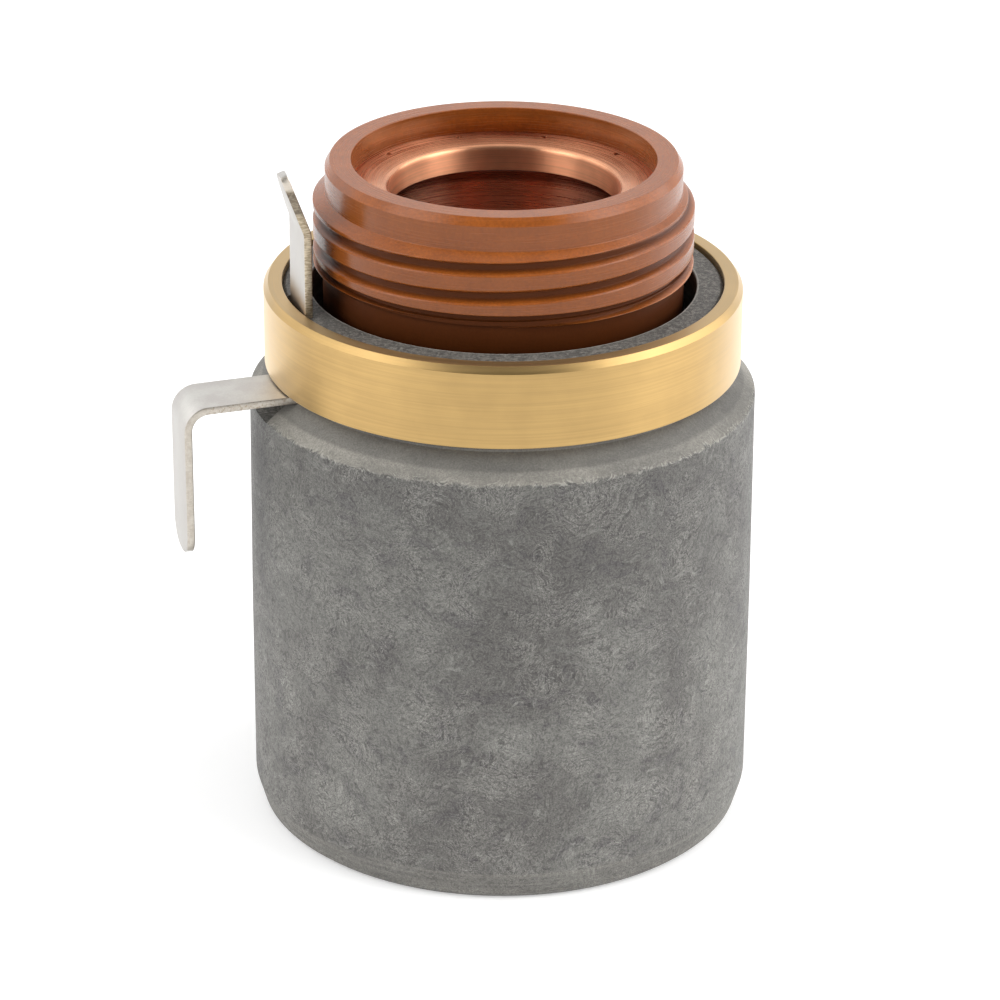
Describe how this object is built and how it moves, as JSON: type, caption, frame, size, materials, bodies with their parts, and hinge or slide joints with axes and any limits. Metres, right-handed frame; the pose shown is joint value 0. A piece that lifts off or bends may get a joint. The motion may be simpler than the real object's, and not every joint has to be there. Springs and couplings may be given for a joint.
{
  "type": "torch retaining cap",
  "caption": "Cylindrical retaining cap for a plasma cutting torch: composite shell, brass contact ring, folded contact strip, threaded insulating nose and copper nozzle seat.",
  "frame": {"origin": "on the cap's axis in the plane of the rear rim, which it stands on", "axes": "+Z along the axis towards the nozzle end; the folded contact strip points along -X"},
  "size_m": [0.0408, 0.0352, 0.0493],
  "materials": {
    "shell_composite": "moulded, fibre-filled, matt",
    "ring_brass": "turned and brushed",
    "strip_plated": "plated, satin, sheared edges",
    "insulator_polymer": "turned, semi-gloss",
    "seat_copper": "turned copper, satin"
  },
  "bodies": {
    "root": {"outer_shell": "shell_composite", "contact_ring": "ring_brass", "contact_strip": "strip_plated", "nose_insulator": "insulator_polymer", "nozzle_seat": "seat_copper"}
  },
  "joints": []
}
